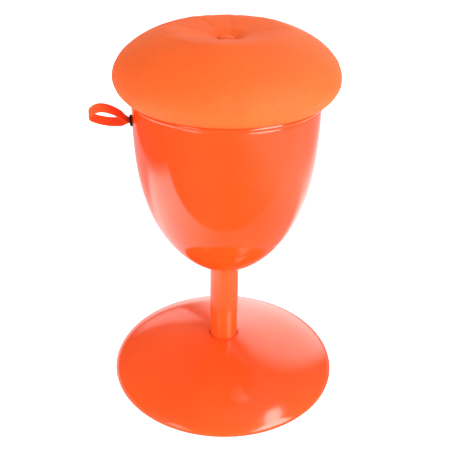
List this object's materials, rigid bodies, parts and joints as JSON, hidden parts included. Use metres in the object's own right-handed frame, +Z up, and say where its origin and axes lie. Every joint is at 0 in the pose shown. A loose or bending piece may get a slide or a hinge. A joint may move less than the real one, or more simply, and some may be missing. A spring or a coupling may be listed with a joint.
{
  "type": "gas-lift stool",
  "caption": "Height-adjustable swivel stool: round buttoned cushion on a goblet-shaped bowl, gas-lift column, weighted dome base and a webbing loop that works the lift.",
  "frame": {"origin": "centre of the base's underside, on the floor", "axes": "+Z up along the column; -X points along the pull strap"},
  "size_m": [0.413, 0.4, 0.6194],
  "materials": {
    "orange_paint": "glossy orange powder coat",
    "orange_shell": "high-gloss orange lacquer",
    "orange_trim": "glossy orange edge trim",
    "seat_fabric": "fine matt woven wool-like upholstery",
    "webbing": "woven nylon webbing",
    "foam": "moulded polyurethane foam",
    "plywood": "raw birch plywood",
    "black_rubber": "satin black rubber",
    "black_nylon": "black nylon",
    "black_steel": "black-coated steel",
    "raw_steel": "zinc-plated steel",
    "hard_chrome": "hard-chromed rod"
  },
  "bodies": {
    "base": {"base_dome": "orange_paint", "ballast_plate": "black_steel", "floor_pad": "black_rubber", "base_hub": "black_steel", "hub_bolts": "raw_steel", "hub_nuts": "raw_steel", "column_tube": "orange_paint", "guide_bush": "black_nylon", "bearing_seat": "raw_steel"},
    "rod": {"piston_rod": "hard_chrome", "piston": "black_nylon", "rod_clip": "raw_steel", "bearing_balls": "raw_steel", "bearing_cap": "raw_steel"},
    "seat": {"gas_cylinder": "black_steel", "rod_gland": "raw_steel", "taper_socket": "black_steel", "mechanism_bracket": "black_steel", "lever_pin": "raw_steel", "lever_pin_clip": "raw_steel", "strap_grommet": "black_rubber", "bowl_shell": "orange_shell", "bowl_cap": "orange_shell", "seam_ring": "black_nylon", "cap_bush": "black_nylon", "bowl_screws": "raw_steel", "rim_trim": "orange_trim", "seat_board": "plywood", "tee_nuts": "raw_steel", "plate_bolts": "raw_steel", "foam_core": "foam", "cushion_cover": "seat_fabric", "seat_button": "seat_fabric", "button_tie": "black_nylon", "tie_anchor": "raw_steel"},
    "lever": {"release_lever": "raw_steel", "strap_pin": "raw_steel"},
    "valve": {"valve_button": "raw_steel"},
    "strap": {"pull_strap": "webbing"}
  },
  "joints": [
    {"name": "swivel", "type": "hinge", "parent": "base", "child": "rod", "pos_m": [0, 0, 0], "axis": [0, 0, 1], "continuous": true},
    {"name": "lift", "type": "slide", "parent": "rod", "child": "seat", "axis": [0, 0, 1], "range_m": [-0.13, 0]},
    {"name": "release", "type": "hinge", "parent": "seat", "child": "lever", "pos_m": [-0.024, 0, 0.503], "axis": [0, 1, 0], "range_deg": [0, 10], "stiffness_Nm_per_rad": 2, "springref_deg": -17.19},
    {"name": "valve_press", "type": "slide", "parent": "seat", "child": "valve", "axis": [0, 0, -1], "range_m": [0, 0.0042]},
    {"name": "strap_pull", "type": "slide", "parent": "seat", "child": "strap", "axis": [-0.9781, 0, 0.2079], "range_m": [0, 0.0079]}
  ],
  "couplings": [
    {"joint": "valve_press", "follows": "release", "m_per_rad": 0.0238},
    {"joint": "strap_pull", "follows": "release", "m_per_rad": 0.04494}
  ]
}
